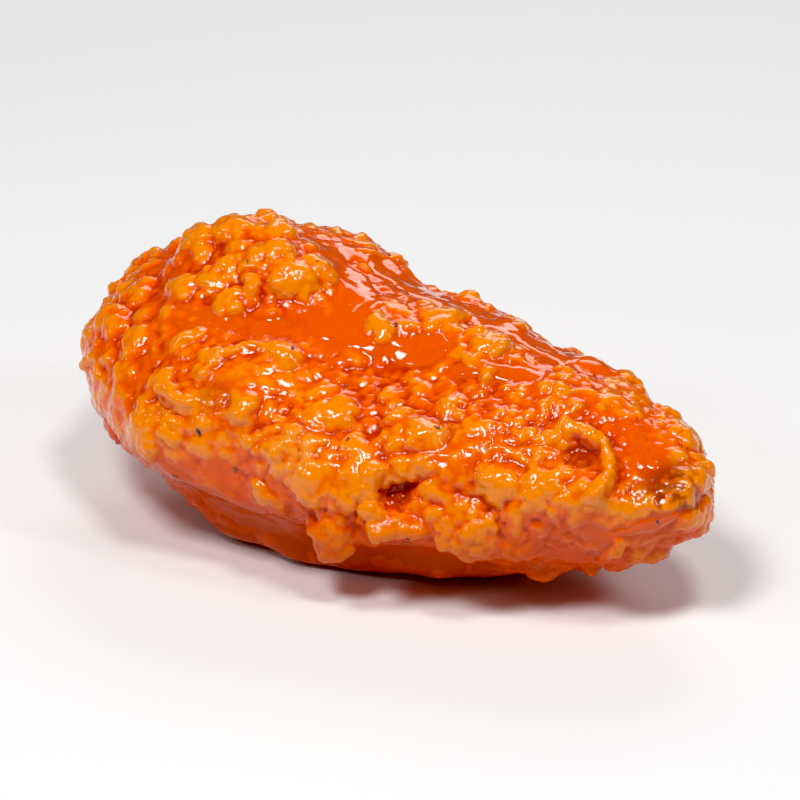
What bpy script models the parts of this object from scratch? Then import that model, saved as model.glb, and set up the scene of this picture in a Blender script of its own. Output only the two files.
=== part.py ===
"""One fried chicken wing in hot sauce: the flat, the middle section of the wing, as a single closed solid.

Blender 4.5, metres, +Z up. The blunt elbow end points to -X and the narrow wrist end to +X. The broad
skin side leans towards -Y, and the wing rests on a flat spot at z = 0, with the origin under its middle.
Run with: blender --background --python part.py
"""

import math
import random

import bmesh
import bpy
from mathutils import Matrix, Vector, noise

# Overall size of the breaded wing
LENGTH = 0.088
WIDTH = 0.046
HEIGHT = 0.0355

# Form of the meat under the crust, as shares of the overall size or as angles
BLOCKINESS = 2.35  # exponent of the superellipsoid: 2 is a plain ellipsoid
TAPER_CURVE = 0.8  # 1 tapers in a straight line, less takes more off just past the start
TAPER_START = -0.45  # share along X, from -1 to 1, where the wing starts to taper to the wrist
WRIST_NARROWING = 0.46  # how much of the width is lost at the wrist end
WRIST_THINNING = 0.45  # how much of the height is lost at the wrist end
ELBOW_NARROWING = 0.03  # how much of the width is lost at the elbow end
ELBOW_THINNING = 0.43  # how much of the height is lost at the elbow end
ELBOW_LIFT = 0.0065  # how far the elbow end bends up off the plate
WRIST_LIFT = 0.002  # how far the wrist end bends up off the plate
SIDE_BOW = 0.01  # bend of the whole wing in plan, as a share of the width
LEAN = math.radians(22.0)  # roll about X that turns the skin side to -Y
FLAT_SPOT_DEPTH = 0.10  # share of the height pressed flat against the plate

# The two long bones show as low ridges along the skin side
BONE_RIDGES = (
    # (angle round the wing from +Z towards -Y, height in metres)
    (math.radians(-20.0), 0.0008),
    (math.radians(48.0), 0.0008),
)
BONE_RIDGE_SPREAD = math.radians(17.0)

# Knobs and hollows of the crust: (share along X from -1 to 1, angle round X, radius, height)
CRUST_KNOBS = (
    # a row of popcorn-like knobs on the crest over the elbow
    (-0.66, math.radians(-20), 0.0036, 0.0022),
    (-0.56, math.radians(-26), 0.0038, 0.0030),
    (-0.46, math.radians(-24), 0.0036, 0.0028),
    (-0.37, math.radians(-19), 0.0034, 0.0026),
    (-0.27, math.radians(-18), 0.0030, 0.0018),
    # heaped plates of crust on the skin side
    (-0.56, math.radians(12), 0.0056, 0.0012),
    (-0.28, math.radians(32), 0.0080, 0.0017),
    (-0.04, math.radians(54), 0.0072, 0.0014),
    (0.27, math.radians(36), 0.0066, 0.0012),
    (0.46, math.radians(14), 0.0062, 0.0012),
    (0.69, math.radians(38), 0.0052, 0.0018),
    # knobs along the lower front edge, over the tuck
    (0.08, math.radians(82), 0.0034, 0.0026),
    (0.20, math.radians(68), 0.0034, 0.0018),
    (0.38, math.radians(80), 0.0050, 0.0014),
    (-0.50, math.radians(64), 0.0060, 0.0014),
    # the cooked end of the bones, a small nub at the wrist
    (0.90, math.radians(42), 0.0044, 0.0016),
    # back and far side
    (-0.34, math.radians(-74), 0.0080, 0.0020),
    (0.22, math.radians(-84), 0.0065, 0.0012),
    (0.00, math.radians(-104), 0.0070, 0.0020),
    (0.56, math.radians(-90), 0.0052, 0.0014),
    # hollows, where the sauce gathers
    (-0.14, math.radians(-16), 0.0052, -0.0010),
    (0.04, math.radians(8), 0.0078, -0.0012),
    (-0.36, math.radians(15), 0.0062, -0.0010),
    (0.24, math.radians(57), 0.0026, -0.0014),
    (-0.50, math.radians(102), 0.0100, -0.0026),
    (-0.20, math.radians(94), 0.0080, -0.0014),
    (-0.10, math.radians(-48), 0.0072, -0.0012),
)

# Smaller lumps scattered all over
SMALL_LUMPS = 150
SMALL_LUMP_RADIUS = (0.0018, 0.0036)
SMALL_LUMP_SHARE = 0.26  # height as a share of radius
ROUGHNESS_SCALE = 150.0  # lumps per metre of the uneven surface
ROUGHNESS_HEIGHT = 0.0008
SEED = 11

SUBDIVISIONS = 6  # 20,480 triangles, thinned where the surface is plain
KEPT_TRIANGLES = 0.38
CRUST_COLOUR = (0.80, 0.14, 0.010, 1.0)
CRUST_ROUGHNESS = 0.32


def clear_scene():
    for obj in list(bpy.data.objects):
        bpy.data.objects.remove(obj, do_unlink=True)


def smooth_step(low, high, value):
    t = min(1.0, max(0.0, (value - low) / (high - low)))
    return t * t * (3.0 - 2.0 * t)


def meat_point(direction):
    """A point of the meat for a direction from the middle, before it is rolled onto its side."""
    power = sum(abs(c) ** BLOCKINESS for c in direction) ** (1.0 / BLOCKINESS)
    boxed = direction / power
    along = boxed.x
    taper = max(0.0, (along - TAPER_START) / (1.0 - TAPER_START)) ** TAPER_CURVE
    width = 1.0 - WRIST_NARROWING * taper
    width -= ELBOW_NARROWING * smooth_step(0.35, 1.0, -along)
    height = 1.0 - WRIST_THINNING * taper - ELBOW_THINNING * smooth_step(0.3, 1.0, -along)
    return Vector((
        along * LENGTH / 2,
        boxed.y * width * WIDTH / 2 + SIDE_BOW * WIDTH * (1.0 - along * along),
        boxed.z * height * HEIGHT / 2,
    ))


def end_lift(along):
    """How far the ends of the wing bend up, for a share along X."""
    return ELBOW_LIFT * smooth_step(0.1, 1.0, -along) + WRIST_LIFT * smooth_step(0.2, 1.0, along)


def wing_point(direction):
    """A point of the rolled wing, with the bone ridges, for a direction from its middle."""
    point = meat_point(direction)
    angle = math.atan2(-point.y, point.z)
    fade = 1.0 - smooth_step(0.55, 0.98, abs(direction.x))
    lift = sum(
        ridge * math.exp(-(((angle - at) / BONE_RIDGE_SPREAD) ** 2))
        for at, ridge in BONE_RIDGES
    )
    point += direction * lift * fade
    rolled = Matrix.Rotation(LEAN, 3, "X") @ point
    rolled.z += end_lift(2.0 * point.x / LENGTH)
    return rolled


def direction_at(along, angle):
    """The direction from the middle to a place on the wing: a share along X and an angle round it."""
    ring = math.sqrt(max(0.0, 1.0 - along * along))
    return Vector((along, -ring * math.sin(angle), ring * math.cos(angle)))


def crust_lumps():
    """Every lump and hollow of the crust as (centre, radius, height)."""
    lumps = [
        (wing_point(direction_at(along, angle)), radius, height)
        for along, angle, radius, height in CRUST_KNOBS
    ]
    rng = random.Random(SEED)
    for _ in range(SMALL_LUMPS):
        place = direction_at(rng.uniform(-0.97, 0.97), rng.uniform(-math.pi, math.pi))
        radius = rng.uniform(*SMALL_LUMP_RADIUS)
        lumps.append((wing_point(place), radius, radius * SMALL_LUMP_SHARE))
    return lumps


def crust_lift(point, lumps):
    """How far the crust stands out of the wing's surface at a point."""
    lift = sum(
        height * math.exp(-((point - centre).length / radius) ** 2 * 1.6)
        for centre, radius, height in lumps
        if (point - centre).length < 2.2 * radius
    )
    return lift + ROUGHNESS_HEIGHT * noise.noise(point * ROUGHNESS_SCALE)


def fit_to_size(bm):
    """Scales and places the mesh so that its box has the named size, centred over the origin."""
    low = Vector([min(v.co[i] for v in bm.verts) for i in range(3)])
    high = Vector([max(v.co[i] for v in bm.verts) for i in range(3)])
    size = high - low
    middle = Vector(((low.x + high.x) / 2, (low.y + high.y) / 2, low.z))
    bmesh.ops.translate(bm, verts=bm.verts, vec=-middle)
    bmesh.ops.scale(bm, verts=bm.verts, vec=(LENGTH / size.x, WIDTH / size.y, HEIGHT / size.z))


def press_flat(bm):
    """Presses the lowest part of the wing flat where it rests on the plate."""
    low = min(v.co.z for v in bm.verts)
    plate = low + FLAT_SPOT_DEPTH * HEIGHT
    for vert in bm.verts:
        vert.co.z = max(vert.co.z, plate)


def crust_material():
    material = bpy.data.materials.new("sauced_crust")
    material.use_nodes = True
    shader = material.node_tree.nodes["Principled BSDF"]
    shader.inputs["Base Color"].default_value = CRUST_COLOUR
    shader.inputs["Roughness"].default_value = CRUST_ROUGHNESS
    shader.inputs["Metallic"].default_value = 0.0
    return material


def build_wing():
    """The wing as one object, from a sphere shaped by the functions above."""
    bm = bmesh.new()
    bmesh.ops.create_icosphere(bm, subdivisions=SUBDIVISIONS, radius=1.0)
    lumps = crust_lumps()
    for vert in bm.verts:
        direction = vert.co.normalized()
        point = wing_point(direction)
        outward = Matrix.Rotation(LEAN, 3, "X") @ direction
        vert.co = point + outward * crust_lift(point, lumps)
    press_flat(bm)
    fit_to_size(bm)
    bmesh.ops.recalc_face_normals(bm, faces=bm.faces)
    mesh = bpy.data.meshes.new("wing")
    bm.to_mesh(mesh)
    bm.free()
    mesh.shade_smooth()
    mesh.materials.append(crust_material())
    wing = bpy.data.objects.new("wing", mesh)
    bpy.context.scene.collection.objects.link(wing)
    thin_out = wing.modifiers.new("thin_out", "DECIMATE")
    thin_out.ratio = KEPT_TRIANGLES


clear_scene()
build_wing()
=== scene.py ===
"""The looks of one fried chicken wing in hot sauce, laid out as an add-on and run as a script.

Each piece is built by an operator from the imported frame: the crust with its knobs, curls and flakes, the
hot sauce that lies in its hollows, the flecks of spice, and the stage. Metres, +Z up.
"""

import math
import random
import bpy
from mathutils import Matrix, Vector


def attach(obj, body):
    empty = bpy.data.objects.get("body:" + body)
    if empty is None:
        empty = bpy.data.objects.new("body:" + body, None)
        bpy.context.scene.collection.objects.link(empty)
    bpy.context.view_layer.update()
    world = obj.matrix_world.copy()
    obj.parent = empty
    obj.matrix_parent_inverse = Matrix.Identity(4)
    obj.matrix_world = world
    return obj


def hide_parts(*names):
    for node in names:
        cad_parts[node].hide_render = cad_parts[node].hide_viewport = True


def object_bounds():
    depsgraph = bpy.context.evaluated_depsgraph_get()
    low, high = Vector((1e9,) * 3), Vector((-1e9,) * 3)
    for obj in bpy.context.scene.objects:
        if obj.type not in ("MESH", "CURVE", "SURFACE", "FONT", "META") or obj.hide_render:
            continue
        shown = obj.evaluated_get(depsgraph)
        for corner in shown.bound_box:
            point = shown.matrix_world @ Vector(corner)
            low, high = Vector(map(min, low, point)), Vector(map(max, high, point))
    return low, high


bl_info = {
    "name": "Sauced Chicken Wing",
    "version": (1, 0, 0),
    "blender": (4, 5, 0),
    "location": "View3D > Sidebar > Wing",
    "description": "Builds a breaded, fried chicken wing glossy with hot sauce, and a small studio for it",
    "category": "Object",
}

import bmesh
import bpy
import numpy as np
from bpy.props import FloatProperty, FloatVectorProperty, IntProperty, PointerProperty
from mathutils import Matrix, Vector, noise
from mathutils.bvhtree import BVHTree
from mathutils.kdtree import KDTree

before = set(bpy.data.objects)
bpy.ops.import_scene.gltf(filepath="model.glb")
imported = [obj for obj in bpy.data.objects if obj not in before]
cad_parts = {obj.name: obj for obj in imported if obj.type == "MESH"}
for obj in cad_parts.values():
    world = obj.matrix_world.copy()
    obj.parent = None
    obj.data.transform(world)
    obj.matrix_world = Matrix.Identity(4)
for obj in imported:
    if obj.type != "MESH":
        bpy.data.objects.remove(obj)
CAD_LOW, CAD_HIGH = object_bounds()

BODY = "root"
NODE = "wing"
MIDDLE = (CAD_LOW + CAD_HIGH) / 2
SIZE = CAD_HIGH - CAD_LOW
MM = 0.001

# A place on the wing is a share of its length, from -1 at the elbow to 1 at the wrist, and an angle round
# it in degrees, from the top over the skin side. Radii and half widths are in millimetres.

# Single knobs of crust: (along, angle, radius, (length, width, height) as shares of the radius)
NAMED_KNOBS = (
    # the row of popcorn on the crest over the elbow
    (-0.69, -6, 2.3, (1.1, 1.0, 0.7)),
    (-0.65, 2, 1.6, (1.0, 1.0, 0.8)),
    (-0.60, -9, 2.5, (1.2, 0.9, 0.65)),
    (-0.54, -2, 1.8, (1.0, 1.0, 0.75)),
    (-0.46, -15, 2.2, (1.0, 1.0, 0.9)),
    (-0.40, 0, 2.1, (0.9, 1.2, 0.8)),
    (-0.37, -17, 1.8, (1.0, 1.0, 0.9)),
    (-0.29, -4, 2.0, (1.1, 1.0, 0.8)),
    # the heaped lumps at the upper left of the skin side
    (-0.64, 26, 2.2, (1.3, 1.0, 0.7)),
    (-0.56, 17, 2.0, (1.2, 1.0, 0.7)),
    (-0.72, 46, 1.9, (1.2, 1.0, 0.7)),
    (-0.80, 74, 1.8, (1.2, 1.0, 0.6)),
    (-0.66, 84, 1.7, (1.3, 1.0, 0.6)),
    (-0.86, 20, 1.7, (1.0, 1.3, 0.6)),
    # the knob on the front edge, in three lumps
    (0.02, 92, 2.6, (1.2, 1.1, 0.7)),
    (0.10, 95, 2.3, (1.1, 1.2, 0.8)),
    (0.06, 99, 1.9, (1.4, 1.1, 0.8)),
    # lumps that hang over the tuck further along
    (0.38, 103, 2.2, (1.3, 1.1, 0.6)),
    (0.47, 110, 2.4, (1.3, 1.2, 0.6)),
    (0.58, 113, 2.0, (1.4, 1.2, 0.4)),
)

# Ridges of crust: (half width, places along the ridge)
NAMED_CURLS = (
    # the ear that curls round a dark hollow on the front edge
    (1.35, ((0.17, 86), (0.165, 92), (0.175, 99), (0.22, 104), (0.27, 104), (0.325, 106))),
    # the arch near the wrist
    (1.25, ((0.61, 47), (0.60, 39), (0.65, 35), (0.71, 43))),
    (0.9, ((0.71, 43), (0.75, 56), (0.77, 68), (0.76, 80))),
    # the rim of the hump in the left half
    (0.6, ((-0.39, 68), (-0.38, 58), (-0.33, 51), (-0.27, 48))),
)

# Where the wing is drawn in: (half width, depth, places along it)
TUCKS = (
    # under the crust's front edge, and under the elbow
    (4.0, 2.1, ((0.00, 123), (0.14, 124), (0.30, 127), (0.40, 132))),
    (4.5, 0.9, ((-0.40, 118), (-0.24, 121), (-0.08, 122))),
    # the hollow inside the ear
    (1.5, 1.4, ((0.225, 94), (0.27, 90))),
    (1.4, 1.0, ((0.27, 90), (0.31, 83))),
    # between the arms of the arch
    (1.3, 0.5, ((0.66, 50), (0.68, 60))),
)

# Spots that no lump fills: (radius, how bare, along, angle)
HOLLOWS = (
    (2.4, 1.0, 0.245, 93),
    (2.2, 1.0, 0.30, 87),
    (1.3, 1.0, 0.68, 56),
)

# The band of sauce along the back of the crest, as places along it
CREST_BAND = (
    (-0.36, -26), (-0.25, -42), (-0.10, -43), (0.04, -39),
    (0.17, -38), (0.29, -35), (0.40, -43), (0.50, -52),
)

# Sauce that lies smooth: (half width, how full, places along it)
SAUCE_POOLS = (
    (3.3, 1.0, CREST_BAND),
    (3.0, 1.0, ((-0.25, -19), (-0.18, -8), (-0.13, 2))),
    # the sheet in the middle of the skin side
    (3.0, 0.78, ((-0.20, 24), (-0.08, 25), (0.03, 20), (0.11, 10))),
    (2.8, 0.72, ((-0.54, 44), (-0.44, 42), (-0.36, 36), (-0.26, 30))),
    (1.8, 0.75, ((0.24, 22), (0.36, 9), (0.44, -4))),
    (2.0, 0.75, ((0.86, 38), (0.80, 18), (0.74, 2))),
    # the skirt under the elbow and the strip along the foot of the front
    (4.4, 1.0, ((-0.46, 110), (-0.34, 115), (-0.20, 119), (-0.06, 122))),
    (3.8, 1.0, ((-0.05, 124), (0.15, 124), (0.30, 126), (0.42, 132))),
    (2.0, 0.7, ((0.42, 134), (0.62, 133), (0.76, 128))),
    (1.7, 0.9, ((0.76, 110), (0.86, 106), (0.95, 98))),
    # the far side and the ends
    (2.6, 0.75, ((-0.30, -70), (-0.36, -90), (-0.34, -104))),
    (2.2, 0.8, ((0.10, -62), (0.14, -80))),
    (2.2, 0.9, ((0.50, -70), (0.58, -96))),
    (2.2, 0.8, ((-0.72, -66), (-0.80, -96))),
    (2.2, 0.8, ((-0.88, -118), (-0.92, -150))),
)

# How full of sauce a patch outside the pools gets, and the low part of the wing
PATCH_COVER = 0.48
FOOT_COVER = 0.8

# Spots of darker crust, some well done and some painted shade: (radius, how dark, along, angle)
TOASTED_AND_SHADED_SPOTS = (
    # the well done tip
    (4.6, 1.0, 0.93, 62),
    # painted shade in the arch's hollow and on the hump in the left half
    (2.4, 0.6, 0.68, 56),
    (2.4, 0.5, -0.33, 72),
    (2.0, 0.5, -0.47, 76),
    # painted shade in the hollow inside the ear
    (2.2, 0.6, 0.235, 94),
    # well done crust on the far side
    (2.4, 0.5, 0.10, -118),
    (2.2, 0.5, -0.60, -70),
)

# Spots where the bare crust shows pale through the sauce: (radius, how pale, along, angle)
PALE_SPOTS = (
    (3.6, 1.0, -0.06, 84),
    (2.6, 0.7, 0.30, 66),
    (2.4, 0.6, -0.62, 22),
    (2.2, 0.6, 0.46, 84),
    (2.6, 0.6, -0.10, -84),
    (2.4, 0.6, 0.36, -84),
)


# ---------------------------------------------------------------- the wing's surface


class Skin:
    """A closed surface to heap crust on: finds points on it and their outward normals."""

    # how far out a search for the outermost point starts
    REACH = 12 * MM
    # the axis that angles are measured round, as a share of the height of the wing's middle
    AXIS_HEIGHT = 0.92

    def __init__(self, bm):
        bm.normal_update()
        self.tree = BVHTree.FromBMesh(bm)
        self.faces = [(f.calc_center_median(), f.normal.copy()) for f in bm.faces]
        self.totals = np.cumsum([f.calc_area() for f in bm.faces])

    def at(self, along, angle):
        """The surface point at a named place."""
        angle = math.radians(angle)
        outward = Vector((0.0, -math.sin(angle), math.cos(angle)))
        axis_point = Vector((MIDDLE.x + along * SIZE.x / 2, MIDDLE.y, MIDDLE.z * self.AXIS_HEIGHT))
        point, normal, _, _ = self.tree.ray_cast(axis_point + outward * SIZE.x, -outward)
        if point is None:
            point, normal, _, _ = self.tree.find_nearest(axis_point)
        return point, normal

    def near(self, place):
        return self.tree.find_nearest(place)[:2]

    def top(self, place, normal):
        """The outermost point over a place, looking down its normal."""
        point, facing, _, _ = self.tree.ray_cast(place + normal * self.REACH, -normal)
        return (place, normal) if point is None else (point, facing)

    def anywhere(self, rng):
        """A spot chosen at random, evenly over the area."""
        index = int(np.searchsorted(self.totals, rng.random() * self.totals[-1]))
        centre, _ = self.faces[min(index, len(self.faces) - 1)]
        return self.near(centre + Vector([rng.uniform(-1, 1) * MM for _ in range(3)]))


def smooth_step(low, high, values):
    t = np.clip((values - low) / (high - low), 0.0, 1.0)
    return t * t * (3.0 - 2.0 * t)


def noise_at(points, scale, offset=0.0):
    """Smooth noise read at every point, about -1 to 1."""
    shift = Vector((offset, offset, offset))
    return np.array([noise.noise(Vector(p) * scale + shift) for p in points])


def shade_below(relief):
    """1 low down and under the wing, where little light comes and the materials paint shade, and 0 higher up.
    """
    facing = relief.averaged(relief.normals(), 30)[:, 2]
    under = 1.0 - smooth_step(-0.60, -0.05, facing)
    low = 1.0 - smooth_step(0.16, 0.46, relief.points[:, 2] / SIZE.z)
    return np.maximum(under, low)


def path_distance(points, path):
    """How far each point is from a path of straight stretches."""
    nearest = np.full(len(points), np.inf)
    for start, end in zip(path, path[1:]):
        stretch = end - start
        share = np.clip((points - start) @ stretch / (stretch @ stretch), 0.0, 1.0)
        away = points - (start + share[:, None] * stretch)
        nearest = np.minimum(nearest, np.linalg.norm(away, axis=1))
    return nearest


class Places:
    """The named places of the wing as points in space, and how strongly they are felt at any point."""

    def __init__(self, skin):
        self.skin = skin

    def path(self, places):
        return [np.array(self.skin.at(along, angle)[0]) for along, angle in places]

    def sauce(self, points):
        """How much sauce lies at each point, from 0 to 1: in the named pools and in patches."""
        ragged = 1.7 * MM * noise_at(points, 210.0) + 0.9 * MM * noise_at(points, 560.0, 7.0)
        patches = noise_at(points, 75.0, 3.0) + 0.45 * noise_at(points, 190.0, 5.0)
        cover = PATCH_COVER * smooth_step(0.10, 0.62, patches)
        for width, full, places in SAUCE_POOLS:
            away = path_distance(points, self.path(places)) + ragged
            cover = np.maximum(cover, full * (1.0 - smooth_step(0.55, 1.45, away / (width * MM))))
        foot = 1.0 - smooth_step(0.06, 0.16, points[:, 2] / SIZE.z)
        return np.maximum(cover, FOOT_COVER * foot)

    def spots(self, points, spots):
        """How strongly the nearest of some round spots is felt at each point."""
        felt = np.zeros(len(points))
        for radius, strength, along, angle in spots:
            centre = np.array(self.skin.at(along, angle)[0])
            away = np.linalg.norm(points - centre, axis=1) / (radius * MM)
            felt = np.maximum(felt, strength * (1.0 - smooth_step(0.35, 1.3, away)))
        return felt


# ---------------------------------------------------------------- heaping crust


class Breading:
    """Lumps of breading heaped on the wing, which a remesh joins afterwards."""

    def __init__(self, bm, rng):
        self.bm = bm
        self.rng = rng
        self.one = bpy.data.meshes.new("lump")

    def lump(self, centre, long_way, up, radius, shape, rounds=2, wobble=0.45):
        """One lump: a small uneven ball with its length, width and height as shares of its radius."""
        across = up.cross(long_way).normalized()
        turn = Matrix((long_way, across, up)).transposed().to_4x4()
        place = Matrix.Translation(centre) @ turn @ Matrix.Diagonal((*shape, 1.0))
        offset = Vector([self.rng.uniform(0, 100) for _ in range(3)])
        ball = bmesh.new()
        bmesh.ops.create_icosphere(ball, subdivisions=rounds, radius=radius, matrix=place)
        for vert in ball.verts:
            away = vert.co - centre
            vert.co += away * wobble * noise.noise(away / radius * 0.9 + offset)
        ball.to_mesh(self.one)
        ball.free()
        self.bm.from_mesh(self.one)

    def heading(self, up):
        """A random direction along the surface."""
        way = Vector([self.rng.gauss(0, 1) for _ in range(3)])
        return (way - up * way.dot(up)).normalized()

    def scatter(self, skin, places, count, radius, spread, sunk, flatness, dryness, rounds):
        """Lumps of one kind all over the wing, crowded in clusters and few where sauce lies.

        spread is how much their sizes differ, sunk is the range of how high a lump's centre stands over the
        heap and flatness the range of its height, both as shares of its radius, dryness is how far sauce
        keeps them away, and rounds is how finely each one is made.
        """
        heap = Skin(self.bm)
        rng = self.rng
        spots = [skin.anywhere(rng) for _ in range(count * 2)]
        points = np.array([point for point, _ in spots])
        crowd = 0.65 + 0.6 * noise_at(points, 100.0, 11.0) + 0.4 * noise_at(points, 270.0, 13.0)
        crowd = np.clip(crowd, 0.2, 1.0) * (1.0 - dryness * smooth_step(0.45, 0.85, places.sauce(points)))
        crowd *= 1.0 - places.spots(points, HOLLOWS)
        placed = 0
        for (point, normal), chance in zip(spots, crowd):
            if placed < count and rng.random() < chance:
                top, up = heap.top(point, normal)
                up = (up + normal).normalized()
                size = radius * rng.lognormvariate(0.0, spread)
                shape = (rng.uniform(0.95, 1.4), rng.uniform(0.8, 1.1), rng.uniform(*flatness))
                centre = top + up * size * rng.uniform(*sunk)
                self.lump(centre, self.heading(up), up, size, shape, rounds, 0.32)
                placed += 1

    def curl(self, skin, path, radius):
        """A ridge of crust along a path over the surface, as a row of merging lumps."""
        for start, end in zip(path, path[1:]):
            steps = max(1, round((end - start).length / (radius * 0.7)))
            for step in range(steps):
                point, normal = skin.near(start.lerp(end, step / steps))
                size = radius * self.rng.uniform(0.85, 1.2)
                way = end - start
                way = (way - normal * way.dot(normal)).normalized()
                shape = (1.1, 0.85, self.rng.uniform(0.95, 1.35))
                self.lump(point + normal * size * 0.35, way, normal, size, shape)

    def stray_curl(self, skin, radius):
        """A short ridge that winds over the surface from a random place."""
        rng = self.rng
        point, normal = skin.anywhere(rng)
        way = self.heading(normal)
        turn = rng.gauss(0.0, 0.35)
        path = [point]
        for _ in range(rng.randint(2, 6)):
            way = Matrix.Rotation(turn + rng.gauss(0, 0.35), 3, normal) @ way
            point, normal = skin.near(point + way * radius * 1.3)
            way = (way - normal * way.dot(normal)).normalized()
            path.append(point)
        self.curl(skin, path, radius)

    def flake(self, skin, radius):
        """A thin tilted flake that stands off the surface."""
        rng = self.rng
        point, normal = skin.anywhere(rng)
        way = self.heading(normal)
        up = Matrix.Rotation(rng.uniform(0.2, 0.7), 3, way) @ normal
        shape = (rng.uniform(1.0, 1.5), rng.uniform(0.7, 1.0), rng.uniform(0.28, 0.42))
        self.lump(point + normal * radius * 0.15, way, up, radius, shape)


class Pebbles:
    """Round pebbles of crust packed side by side, as a height over any point of the surface."""

    # how many of the nearest pebbles can reach a point
    NEIGHBOURS = 7

    def __init__(self, places, sizes, rng, tall):
        """Packs pebbles into places, each about as wide as its place's size and tall as a share of that.

        Some run on into short worms.
        """
        self.domes = []
        found = []
        widest = 1.4 * max(sizes)
        cells = {}
        order = list(range(len(places)))
        rng.shuffle(order)
        for index in order:
            size = sizes[index] * rng.uniform(0.7, 1.4)
            place = places[index] + Vector([rng.uniform(-0.25, 0.25) * size for _ in range(3)])
            i, j, k = (int(c // widest) for c in place)
            around = ((i + a, j + b, k + c) for a in (-1, 0, 1) for b in (-1, 0, 1) for c in (-1, 0, 1))
            placed = (pebble for cell in around for pebble in cells.get(cell, ()))
            if any((place - other).length < 0.5 * (size + wide) for other, wide in placed):
                continue
            cells.setdefault((i, j, k), []).append((place, size))
            height = tall * size * rng.uniform(0.6, 1.3)
            way = Vector([rng.gauss(0, 1) for _ in range(3)]).normalized()
            for step in range(rng.choice((1, 1, 1, 2, 3))):
                found.append(place + way * size * 0.45 * step)
                self.domes.append((size * rng.uniform(0.68, 0.82), height))
        self.tree = KDTree(len(found))
        for index, place in enumerate(found):
            self.tree.insert(place, index)
        self.tree.balance()

    def height(self, place):
        """How high the pebbles stand at a place."""
        highest = 0.0
        for _, index, away in self.tree.find_n(place, self.NEIGHBOURS):
            radius, height = self.domes[index]
            if away < radius:
                highest = max(highest, height * (1.0 - (away / radius) ** 2))
        return highest


class Relief:
    """A dense mesh as arrays, so that its points can be moved all at once."""

    def __init__(self, mesh):
        self.mesh = mesh
        count = len(mesh.vertices)
        self.points = np.empty(count * 3, np.float32)
        mesh.vertices.foreach_get("co", self.points)
        self.points = self.points.reshape(-1, 3).astype(float)
        ends = np.empty(len(mesh.edges) * 2, np.int32)
        mesh.edges.foreach_get("vertices", ends)
        self.ends = ends.reshape(-1, 2)
        self.degree = np.bincount(self.ends.ravel(), minlength=count).astype(float)

    def normals(self):
        """The outward normal at every point."""
        self.write()
        found = np.empty(len(self.points) * 3, np.float32)
        self.mesh.vertex_normals.foreach_get("vector", found)
        return found.reshape(-1, 3).astype(float)

    def averaged(self, values, times, share=1.0):
        """values with each one drawn towards its neighbours' average, a number of times over."""
        a, b = self.ends[:, 0], self.ends[:, 1]
        values = values.copy()
        flat = values.reshape(len(values), -1)
        for _ in range(times):
            for k in range(flat.shape[1]):
                total = np.bincount(a, flat[b, k], len(flat)) + np.bincount(b, flat[a, k], len(flat))
                flat[:, k] += share * (total / self.degree - flat[:, k])
        return values

    def depth(self, times):
        """How far each point lies under the surface as it is when smoothed a number of times."""
        smooth = self.averaged(self.points, times, 0.7)
        return np.einsum("ij,ij->i", smooth - self.points, self.normals())

    def write(self):
        """Puts the points back into the mesh."""
        self.mesh.vertices.foreach_set("co", self.points.astype(np.float32).ravel())
        self.mesh.update()

    def rest_on_plate(self):
        """Keeps every point on or over the surface that the wing lies on."""
        self.points[:, 2] = np.maximum(self.points[:, 2], 0.0)
        self.write()

    def store(self, name, values):
        """Keeps a value for every point, for the materials to read."""
        attribute = self.mesh.attributes.new(name, "FLOAT", "POINT")
        attribute.data.foreach_set("value", values.astype(np.float32))


def remeshed(bm, voxel, name):
    """The union of everything in bm as one even mesh of squares voxel wide."""
    mesh = bpy.data.meshes.new(name)
    bm.to_mesh(mesh)
    rough = bpy.data.objects.new(name + "_rough", mesh)
    bpy.context.scene.collection.objects.link(rough)
    remesh = rough.modifiers.new("even", "REMESH")
    remesh.mode = "VOXEL"
    remesh.voxel_size = voxel
    remesh.use_smooth_shade = True
    graph = bpy.context.evaluated_depsgraph_get()
    made = bpy.data.meshes.new_from_object(rough.evaluated_get(graph))
    made.name = name
    bpy.data.objects.remove(rough)
    bpy.data.meshes.remove(mesh)
    return made


def bare_wing(room=0.0):
    """The wing's own form from the frame, a little smoothed, drawn in to leave room for what goes on it."""
    bm = bmesh.new()
    bm.from_mesh(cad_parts[NODE].data)
    bmesh.ops.remove_doubles(bm, verts=bm.verts, dist=0.01 * MM)
    for _ in range(3):
        bmesh.ops.smooth_vert(
            bm, verts=bm.verts, factor=0.5, use_axis_x=True, use_axis_y=True, use_axis_z=True
        )
    bm.normal_update()
    points = np.array([vert.co for vert in bm.verts])
    drawn = np.full(len(points), room)
    places = Places(Skin(bm))
    for half_width, depth, path in TUCKS:
        away = path_distance(points, places.path(path)) / (half_width * MM)
        drawn += depth * MM * (1.0 - smooth_step(0.3, 1.2, away))
    for vert, share in zip(bm.verts, drawn):
        vert.co -= vert.normal * share
    return bm


def add_piece(name, mesh, material):
    """Puts a finished mesh into the scene as a piece that rides on the wing."""
    piece = bpy.data.objects.new(name, mesh)
    bpy.context.scene.collection.objects.link(piece)
    mesh.materials.clear()
    mesh.materials.append(material)
    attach(piece, BODY)
    return piece


# ---------------------------------------------------------------- shader expressions


class Value:
    """One value in a material's nodes. Arithmetic on it adds the Math nodes for it."""

    def __init__(self, graph, socket):
        self.graph = graph
        self.socket = socket

    def _math(self, operation, *values):
        return self.graph.add("ShaderNodeMath", {"operation": operation}, dict(enumerate(values)))

    def __add__(self, other):
        return self._math("ADD", self, other)

    def __radd__(self, other):
        return self._math("ADD", other, self)

    def __sub__(self, other):
        return self._math("SUBTRACT", self, other)

    def __rsub__(self, other):
        return self._math("SUBTRACT", other, self)

    def __mul__(self, other):
        return self._math("MULTIPLY", self, other)

    def __rmul__(self, other):
        return self._math("MULTIPLY", other, self)

    def step(self, low, high):
        """0 below low, 1 above high, and smooth between."""
        settings = {"interpolation_type": "SMOOTHSTEP"}
        return self.graph.add("ShaderNodeMapRange", settings, {0: self, 1: low, 2: high})


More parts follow.
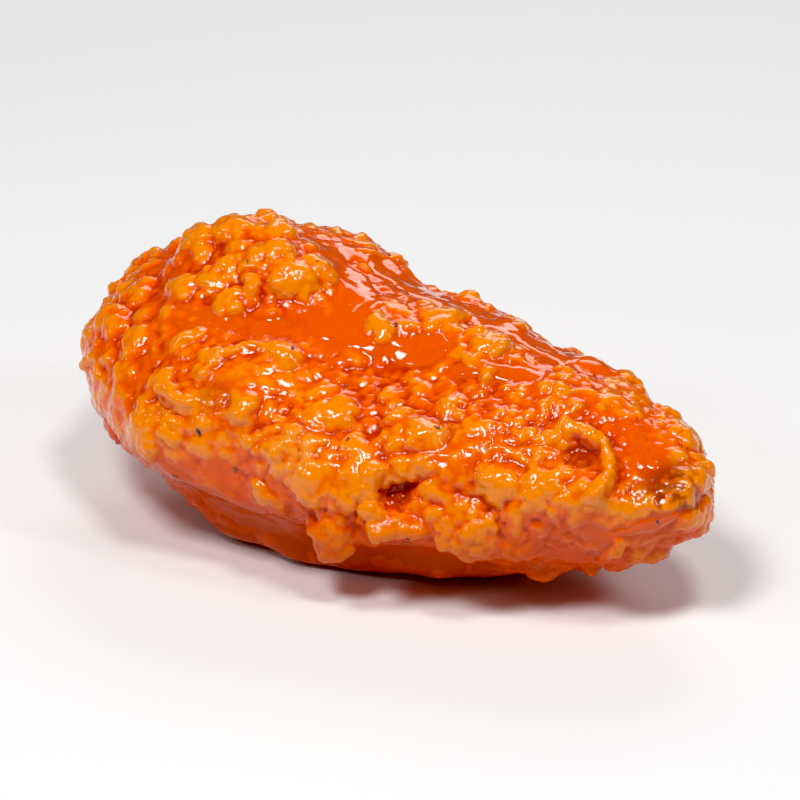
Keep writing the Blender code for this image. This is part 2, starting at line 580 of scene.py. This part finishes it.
class Graph:
    """The node tree of one material, with its Principled shader."""

    def __init__(self, name):
        self.material = bpy.data.materials.new(name)
        self.material.use_nodes = True
        self.tree = self.material.node_tree
        self.shader = self.tree.nodes["Principled BSDF"]

    def add(self, kind, settings=None, inputs=None, output=0):
        """Adds a node: its settings first, then the values or links of its sockets."""
        node = self.tree.nodes.new(kind)
        for name, value in (settings or {}).items():
            setattr(node, name, value)
        for key, value in (inputs or {}).items():
            self.feed(node.inputs[key], value)
        return Value(self, node.outputs[output])

    def feed(self, socket, value):
        if isinstance(value, Value):
            self.tree.links.new(value.socket, socket)
        else:
            socket.default_value = value

    def attribute(self, name):
        return self.add("ShaderNodeAttribute", {"attribute_name": name}, output="Fac")

    def noise(self, scale, detail=2.0, distortion=0.0):
        sockets = {
            "Vector": self.add("ShaderNodeTexCoord", output="Object"),
            "Scale": scale,
            "Detail": detail,
            "Distortion": distortion,
        }
        return self.add("ShaderNodeTexNoise", inputs=sockets)

    def pebbles(self, scale):
        sockets = {"Vector": self.add("ShaderNodeTexCoord", output="Object"), "Scale": scale}
        return self.add("ShaderNodeTexVoronoi", {"feature": "SMOOTH_F1"}, sockets)

    def mix(self, share, a, b):
        """Two colours mixed by a share."""
        return self.add("ShaderNodeMix", {"data_type": "RGBA"}, {"Factor": share, 6: a, 7: b}, output=2)

    def bump(self, height, distance, strength):
        sockets = {"Strength": strength, "Distance": distance, "Height": height}
        return self.add("ShaderNodeBump", inputs=sockets)

    def finish(self, **sockets):
        """Sets the Principled shader's sockets by name, with _ for a space."""
        for name, value in sockets.items():
            self.feed(self.shader.inputs[name.replace("_", " ")], value)
        return self.material


def rgba(colour):
    return (*colour, 1.0)


def crust_material(settings):
    """Fried crust in sauce: golden peaks, partly painted highlight; red creases, darkened as painted shade.
    """
    g = Graph("sauced_crust")
    sauce = g.attribute("sauce")
    relief = g.attribute("relief")
    heap = g.attribute("heap")
    foot = g.attribute("foot")
    broad = g.noise(75.0, 3.0, 0.6)
    patches = g.noise(240.0, 4.0, 0.8)
    fine = g.noise(1100.0, 3.0, 0.3)
    # relief and heap raise the tone on peaks, partly a painted highlight, and lower it in hollows and
    # creases, partly painted shade; foot lowers it low down as painted shade
    tone = relief * 0.40 + heap * 0.30 + patches * 1.5 + broad - sauce * 0.5 - foot * 0.6
    colour = g.mix(tone.step(1.10, 1.70), rgba(settings.coated), rgba(settings.golden_and_highlight))
    pale = g.attribute("pale") * (patches + fine).step(0.70, 1.10)
    colour = g.mix(pale * 0.7, colour, rgba(settings.pale))
    wet = (1.25 - tone).step(0.0, 0.60)
    colour = g.mix(wet * 0.9, colour, rgba(settings.sauce_red))
    # painted shade: the creases darkened towards a deep red
    crease_shade = (relief * -0.8 - heap * 0.6).step(0.12, 1.05)
    colour = g.mix(crease_shade * 0.9, colour, rgba(settings.crease_shade))
    # painted shade: the crust darkened low down and under the wing
    colour = g.mix(foot * 0.7, colour, rgba(settings.shaded_underside))
    # darker spots: well done crust, and painted shade in the ear's and arch's hollows and on the hump
    toast_and_shade = g.attribute("toast_and_shade") * (patches * 0.8 + fine * 0.6 - relief * 0.3).step(0.30, 0.70)
    colour = g.mix(toast_and_shade * 0.85, colour, rgba(settings.toasted_and_shaded))
    grain = 1.0 - g.pebbles(1250.0)
    rough = 1.0 - sauce.step(0.25, 0.9)
    return g.finish(
        Base_Color=colour,
        Roughness=0.16 - 0.06 * wet,
        Specular_IOR_Level=0.10,
        Subsurface_Weight=0.08,
        Subsurface_Radius=(1.0, 0.25, 0.04),
        Subsurface_Scale=0.0011,
        Coat_Weight=(1.0 - 0.85 * foot) * (1.0 - 0.3 * crease_shade),
        Coat_Roughness=0.04,
        Coat_IOR=1.4,
        Normal=g.bump(grain * (0.3 + 0.7 * rough), 0.00022, 0.8),
    )


def sauce_material(settings):
    """Hot sauce lying thick: clear-coated orange, deeper where it is deep, darker low down as painted shade.
    """
    g = Graph("hot_sauce")
    deep = g.attribute("deep")
    foot = g.attribute("foot")
    broad = g.noise(90.0, 2.0, 0.5)
    fine = g.noise(1200.0, 3.0)
    colour = g.mix((deep * 0.8 + broad * 0.5).step(0.30, 0.95), rgba(settings.thin), rgba(settings.thick))
    colour = g.mix((fine * 0.6 + broad * 0.5).step(0.60, 0.85) * 0.5, colour, rgba(settings.butter))
    # painted shade: the sauce darkened low down and under the wing
    colour = g.mix(foot * 0.85, colour, rgba(settings.shaded_underside))
    return g.finish(
        Base_Color=colour,
        Roughness=0.09,
        Specular_IOR_Level=0.15,
        Subsurface_Weight=0.25,
        Subsurface_Radius=(1.0, 0.22, 0.03),
        Subsurface_Scale=0.0018,
        Coat_Weight=1.0 - 0.9 * foot,
        Coat_Roughness=0.03,
        Coat_IOR=1.4,
        Normal=g.bump(g.noise(420.0, 2.0, 0.4) + fine * 0.12, 0.00022, 0.6),
    )


def fleck_material(settings):
    """Specks of pepper and chilli, under the same film of sauce."""
    g = Graph("spice_flecks")
    kind = g.noise(180.0, 1.0)
    colour = g.mix(kind.step(0.46, 0.54), rgba(settings.pepper), rgba(settings.chilli))
    return g.finish(Base_Color=colour, Roughness=0.4, Coat_Weight=1.0, Coat_Roughness=0.1)


# ---------------------------------------------------------------- settings


def length(name, description, default):
    return FloatProperty(name=name, description=description, default=default * MM, unit="LENGTH")


def colour(name, description, default):
    return FloatVectorProperty(name=name, description=description, subtype="COLOR", default=default)


class WingCrustSettings(bpy.types.PropertyGroup):
    """Sizes and colours of the fried crust."""

    cell: length("Mesh Cell", "Side of the crust's mesh squares", 0.395)
    room: length("Room", "How far the wing is drawn in to leave room for the breading", 0.7)
    clump_count: IntProperty(name="Clumps", description="Broad heaps of breading", default=110)
    clump_radius: length("Clump Radius", "Radius of a middling clump", 2.1)
    knob_count: IntProperty(name="Knobs", description="Round knobs on the clumps", default=380)
    knob_radius: length("Knob Radius", "Radius of a middling knob", 1.15)
    pebble: length("Pebble Width", "Width of a middling pebble of crust", 2.0)
    grain: length("Grain Width", "Width of a middling grain on the pebbles", 1.08)
    curl_count: IntProperty(name="Curls", description="Winding ridges of crust", default=22)
    flake_count: IntProperty(name="Flakes", description="Thin flakes that stand off the crust", default=14)
    seed: IntProperty(name="Seed", description="Picks where the crumbs fall", default=5)
    # bare crust, which also serves as a painted highlight on the peaks
    golden_and_highlight: colour("Golden", "Bare peaks of the crust", (0.94, 0.250, 0.008))
    coated: colour("Coated", "Crust under a thin film of sauce", (0.88, 0.112, 0.000))
    pale: colour("Pale", "Crust that the sauce missed", (0.90, 0.32, 0.040))
    sauce_red: colour("Sauce", "Crust that the sauce has soaked", (0.80, 0.082, 0.001))
    # painted shade in the deepest creases
    crease_shade: colour("Crease", "The deepest creases", (0.50, 0.027, 0.000))
    # well done crust, also used as painted shade in the hollows of the ear and the arch and on the hump
    toasted_and_shaded: colour("Toasted", "Well done crust", (0.26, 0.030, 0.008))
    # painted shade for the crust low down and under the wing
    shaded_underside: colour("Drained", "Crust low down that the sauce has soaked", (0.62, 0.066, 0.002))

    def pebble_sizes(self):
        """Each size of pebble: width, height as a share of that, how uneven, and how far sauce hides it."""
        return ((self.pebble, 0.13, 0.30, 0.70), (self.grain, 0.31, 0.25, 0.62))


class HotSauceSettings(bpy.types.PropertyGroup):
    """Sizes and colours of the sauce that lies thick."""

    cell: length("Mesh Cell", "Side of the sauce's mesh squares", 0.46)
    rise: length("Rise", "How far a full pool stands over the middling level of the crust", 0.17)
    drop: length("Drop", "How far under that level the sauce runs where there is none to see", 0.75)
    thin: colour("Thin", "Sauce where it is thin", (0.84, 0.104, 0.001))
    thick: colour("Thick", "Sauce where it is deep", (0.74, 0.066, 0.000))
    butter: colour("Butter", "Fine streaks of butter in the sauce", (0.90, 0.165, 0.006))
    # painted shade for the sauce low down and under the wing
    shaded_underside: colour("Drained", "Sauce that has run down to the foot", (0.50, 0.052, 0.002))


class SpiceFleckSettings(bpy.types.PropertyGroup):
    """Sizes and colours of the specks of spice."""

    count: IntProperty(name="Flecks", description="Specks of spice over the whole wing", default=34)
    radius: length("Radius", "Radius of a middling fleck", 0.21)
    seed: IntProperty(name="Seed", description="Picks where the flecks fall", default=23)
    pepper: colour("Pepper", "Black pepper", (0.030, 0.014, 0.008))
    chilli: colour("Chilli", "Dried chilli", (0.22, 0.014, 0.003))


class StageSettings(bpy.types.PropertyGroup):
    """The camera and the light."""

    azimuth: FloatProperty(
        name="Azimuth", description="Camera's angle round the wing", default=math.radians(32), subtype="ANGLE"
    )
    elevation: FloatProperty(
        name="Elevation", description="Camera's height angle", default=math.radians(26.5), subtype="ANGLE"
    )
    distance: length("Distance", "Camera to the wing", 600.0)
    lens: FloatProperty(name="Lens", description="Focal length in millimetres", default=220.0)


# ---------------------------------------------------------------- pieces


class WING_OT_crust(bpy.types.Operator):
    """Builds the breaded crust over the wing's own form"""

    bl_idname = "wing.crust"
    bl_label = "Fried Crust"

    # rounds of smoothing that take the grains away, and that leave only the wing's own form
    GRAIN_ROUNDS = 22
    FORM_ROUNDS = 160
    # how far grains, and clumps, stand out where they look fully raised
    GRAIN_RELIEF = 0.28 * MM
    CLUMP_RELIEF = 1.1 * MM
    # creases shallower than this keep no sauce
    FILM_FLOOR = 0.05 * MM

    def execute(self, context):
        settings = context.scene.wing_crust
        bm = bare_wing(settings.room)
        skin = Skin(bm)
        places = Places(skin)
        self.heap_up(bm, skin, places, settings)
        mesh = remeshed(bm, settings.cell, "wing_crust")
        bm.free()
        relief = Relief(mesh)
        cover = self.roughen(relief, places, settings)
        self.wet(relief, cover)
        relief.rest_on_plate()
        # foot marks where shade is painted low down and under the wing, and where the coat is thinned
        relief.store("foot", shade_below(relief))
        relief.store("sauce", cover)
        relief.store("toast_and_shade", places.spots(relief.points, TOASTED_AND_SHADED_SPOTS))
        relief.store("pale", places.spots(relief.points, PALE_SPOTS))
        piece = add_piece("wing_crust", mesh, crust_material(settings))
        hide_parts(NODE)
        return {"FINISHED"}

    def heap_up(self, bm, skin, places, settings):
        """Heaps clumps, knobs, curls and flakes on the wing, the small on the large."""
        rng = random.Random(settings.seed)
        breading = Breading(bm, rng)
        breading.scatter(
            skin, places, settings.clump_count, settings.clump_radius,
            spread=0.22, sunk=(-0.40, -0.15), flatness=(0.6, 0.8), dryness=0.9, rounds=3,
        )
        for along, angle, radius, shape in NAMED_KNOBS:
            point, normal = skin.at(along, angle)
            way = Vector((1, 0, 0))
            way = (way - normal * way.dot(normal)).normalized()
            size = radius * MM
            breading.lump(point - normal * size * 0.1, way, normal, size, shape, 3, 0.35)
        for half_width, path in NAMED_CURLS:
            breading.curl(skin, [skin.at(*place)[0] for place in path], half_width * MM)
        breading.scatter(
            skin, places, settings.knob_count, settings.knob_radius,
            spread=0.22, sunk=(-0.60, -0.25), flatness=(0.7, 0.9), dryness=1.0, rounds=2,
        )
        for _ in range(settings.curl_count):
            breading.stray_curl(skin, rng.uniform(0.6, 0.95) * MM)
        for _ in range(settings.flake_count):
            breading.flake(skin, rng.uniform(1.0, 1.7) * MM)

    def roughen(self, relief, places, settings):
        """Covers the surface with packed pebbles where no sauce lies, and gives the sauce's cover."""
        rng = random.Random(settings.seed + 1)
        # noise_vector takes its offsets from this seed, and from the clock without one
        noise.seed_set(settings.seed + 1)
        relief.points = relief.averaged(relief.points, 3, 0.6)
        cover = places.sauce(relief.points)
        points = [Vector(p) for p in relief.points]
        crowd = noise_at(relief.points, 130.0, 17.0)
        coarse = noise_at(relief.points, 95.0, 41.0) + 0.4 * crowd
        coarse = 0.62 + 0.50 * smooth_step(-0.45, 0.25, coarse)
        height = noise_at(relief.points, 900.0) * 0.06 * MM
        for spacing, tall, spread, dryness in settings.pebble_sizes():
            sizes = spacing * (1.0 + spread * noise_at(relief.points, 240.0, 31.0) + 0.35 * spread * crowd)
            pebbles = Pebbles(points, sizes, rng, tall)
            swayed = [p + noise.noise_vector(p * 640.0) * spacing * 0.30 for p in points]
            packed = np.array([pebbles.height(p) for p in swayed])
            height += packed * (1.0 - dryness * cover) * coarse
        relief.points += relief.normals() * height[:, None]
        return cover

    def wet(self, relief, cover):
        """Lets a film of sauce fill the creases, and keeps how the surface lies."""
        depth = relief.depth(self.GRAIN_ROUNDS)
        fill = np.clip(depth - self.FILM_FLOOR, 0.0, None) * (0.08 + 0.6 * cover)
        relief.points += relief.normals() * fill[:, None]
        softer = relief.averaged(relief.points, 2, 0.6)
        relief.points += (softer - relief.points) * (cover * 0.6)[:, None]
        relief.store("relief", np.clip(-depth / self.GRAIN_RELIEF, -1.0, 1.0))
        relief.store("heap", np.clip(-relief.depth(self.FORM_ROUNDS) / self.CLUMP_RELIEF, -1.0, 1.0))


class WING_OT_sauce(bpy.types.Operator):
    """Lays the hot sauce in pools over the crust, as one skin that dips under it elsewhere"""

    bl_idname = "wing.sauce"
    bl_label = "Hot Sauce"

    # rounds of averaging that turn the crust's height into the level that sauce finds
    LEVEL_ROUNDS = 12
    # sauce as deep as this has its deepest colour
    DEEP = 1.2 * MM

    def execute(self, context):
        settings = context.scene.hot_sauce
        crust = bmesh.new()
        crust.from_mesh(bpy.data.objects["wing_crust"].data)
        heap = Skin(crust)
        crust.free()
        bm = bare_wing()
        places = Places(Skin(bm))
        sheet = Relief(remeshed(bm, settings.cell, "hot_sauce"))
        bm.free()
        sheet.points = sheet.averaged(sheet.points, 14, 0.7)
        normals = sheet.averaged(sheet.normals(), 6)
        normals /= np.linalg.norm(normals, axis=1)[:, None]
        height = self.crust_height(sheet.points, normals, heap)
        level = self.sauce_level(sheet, height, places.sauce(sheet.points), settings)
        sheet.points += normals * level[:, None]
        sheet.rest_on_plate()
        sheet.store("foot", shade_below(sheet))
        sheet.store("deep", np.clip((level - height) / self.DEEP, 0.0, 1.0))
        add_piece("hot_sauce", sheet.mesh, sauce_material(settings))
        return {"FINISHED"}

    @staticmethod
    def crust_height(points, normals, heap):
        """How high the crust stands over each point of the wing's own form."""
        pairs = ((Vector(point), Vector(normal)) for point, normal in zip(points, normals))
        return np.array([(heap.top(point, normal)[0] - point).dot(normal) for point, normal in pairs])

    def sauce_level(self, sheet, height, cover, settings):
        """How high the sauce stands: over the crust's middling height in a pool, and under it elsewhere."""
        shown = smooth_step(0.30, 0.90, cover)
        level = sheet.averaged(height, self.LEVEL_ROUNDS)
        level = level + settings.rise * shown - settings.drop * (1.0 - shown)
        level = sheet.averaged(level, 3)
        ripples = 0.20 * noise_at(sheet.points, 420.0, 19.0) + 0.10 * noise_at(sheet.points, 950.0, 29.0)
        return level + MM * ripples


class WING_OT_flecks(bpy.types.Operator):
    """Sprinkles specks of spice over the crust and the sauce"""

    bl_idname = "wing.flecks"
    bl_label = "Spice Flecks"

    def execute(self, context):
        settings = context.scene.spice_flecks
        rng = random.Random(settings.seed)
        under = bmesh.new()
        for name in ("wing_crust", "hot_sauce"):
            under.from_mesh(bpy.data.objects[name].data)
        heap = Skin(under)
        under.free()
        bm = bare_wing()
        skin = Skin(bm)
        bm.clear()
        breading = Breading(bm, rng)
        for _ in range(settings.count):
            point, normal = skin.anywhere(rng)
            top, up = heap.top(point, normal)
            shape = (rng.uniform(0.9, 1.7), rng.uniform(0.6, 1.0), rng.uniform(0.35, 0.6))
            size = settings.radius * rng.lognormvariate(0.0, 0.3)
            breading.lump(top, breading.heading(up), up, size, shape, 2, 0.9)
        mesh = bpy.data.meshes.new("spice_flecks")
        bm.to_mesh(mesh)
        bm.free()
        mesh.shade_smooth()
        add_piece("spice_flecks", mesh, fleck_material(settings))
        return {"FINISHED"}


class WING_OT_stage(bpy.types.Operator):
    """Sets the floor, the light and the camera"""

    bl_idname = "wing.stage"
    bl_label = "Stage"

    # name, azimuth from the camera, elevation, distance, width, height, watts
    LAMPS = (
        ("key", -38, 60, 0.60, 0.15, 0.15, 1.95),
        ("top", 35, 72, 0.60, 0.12, 0.12, 1.15),
        ("side", 66, 40, 0.60, 0.08, 0.10, 0.50),
        ("low", -75, 32, 0.60, 0.08, 0.10, 0.32),
        ("back", 168, 38, 0.60, 0.34, 0.22, 0.85),
    )

    def execute(self, context):
        settings = context.scene.wing_stage
        self.floor()
        self.world(context)
        self.lights(settings)
        self.camera(context, settings)
        return {"FINISHED"}

    def floor(self):
        bm = bmesh.new()
        bmesh.ops.create_grid(bm, x_segments=1, y_segments=1, size=3.0)
        mesh = bpy.data.meshes.new("floor")
        bm.to_mesh(mesh)
        bm.free()
        floor = bpy.data.objects.new("floor", mesh)
        bpy.context.scene.collection.objects.link(floor)
        g = Graph("floor_paint")
        mesh.materials.append(g.finish(Base_Color=(0.90, 0.90, 0.90, 1.0), Roughness=0.8))

    def world(self, context):
        world = bpy.data.worlds.new("studio")
        world.use_nodes = True
        background = world.node_tree.nodes["Background"]
        background.inputs["Color"].default_value = (1.0, 1.0, 1.0, 1.0)
        background.inputs["Strength"].default_value = 0.06
        context.scene.world = world
        view = context.scene.view_settings
        view.view_transform = "Standard"
        view.use_curve_mapping = True
        view.curve_mapping.black_level = (0.012, 0.012, 0.012)
        view.curve_mapping.update()

    def lights(self, settings):
        for name, azimuth, elevation, distance, width, height, watts in self.LAMPS:
            lamp = bpy.data.lights.new(name, "AREA")
            lamp.shape = "RECTANGLE"
            lamp.size, lamp.size_y = width, height
            lamp.energy = watts
            place = self.around(settings.azimuth + math.radians(azimuth), math.radians(elevation))
            self.aim(bpy.data.objects.new(name, lamp), place, distance)

    def camera(self, context, settings):
        view = bpy.data.cameras.new("camera")
        view.lens = settings.lens
        view.clip_start = 0.01
        holder = bpy.data.objects.new("camera", view)
        self.aim(holder, self.around(settings.azimuth, settings.elevation), settings.distance)
        context.scene.camera = holder

    @staticmethod
    def aim(holder, place, distance):
        """Puts a lamp or the camera at a distance in a direction from the wing, turned to face it."""
        bpy.context.scene.collection.objects.link(holder)
        holder.location = MIDDLE + place * distance
        holder.rotation_euler = place.to_track_quat("Z", "Y").to_euler()

    @staticmethod
    def around(azimuth, elevation):
        """The direction from the wing to a place round it."""
        flat = math.cos(elevation)
        return Vector((math.sin(azimuth) * flat, -math.cos(azimuth) * flat, math.sin(elevation)))


GROUPS = (
    # scene property, its settings, the operator that uses them
    ("wing_stage", StageSettings, WING_OT_stage),
    ("wing_crust", WingCrustSettings, WING_OT_crust),
    ("hot_sauce", HotSauceSettings, WING_OT_sauce),
    ("spice_flecks", SpiceFleckSettings, WING_OT_flecks),
)


class WING_PT_panel(bpy.types.Panel):
    """Lists the pieces and their settings"""

    bl_label = "Chicken Wing"
    bl_idname = "WING_PT_panel"
    bl_space_type = "VIEW_3D"
    bl_region_type = "UI"
    bl_category = "Wing"

    def draw(self, context):
        for name, _, operator in GROUPS:
            settings = getattr(context.scene, name)
            box = self.layout.box()
            box.operator(operator.bl_idname)
            for field in settings.__annotations__:
                box.prop(settings, field)


def register():
    for name, settings, operator in GROUPS:
        bpy.utils.register_class(settings)
        bpy.utils.register_class(operator)
        setattr(bpy.types.Scene, name, PointerProperty(type=settings))
    bpy.utils.register_class(WING_PT_panel)


def unregister():
    bpy.utils.unregister_class(WING_PT_panel)
    for name, settings, operator in reversed(GROUPS):
        delattr(bpy.types.Scene, name)
        bpy.utils.unregister_class(operator)
        bpy.utils.unregister_class(settings)


def main():
    register()
    bpy.ops.wing.stage()
    bpy.ops.wing.crust()
    bpy.ops.wing.sauce()
    bpy.ops.wing.flecks()


if __name__ == "__main__":
    main()
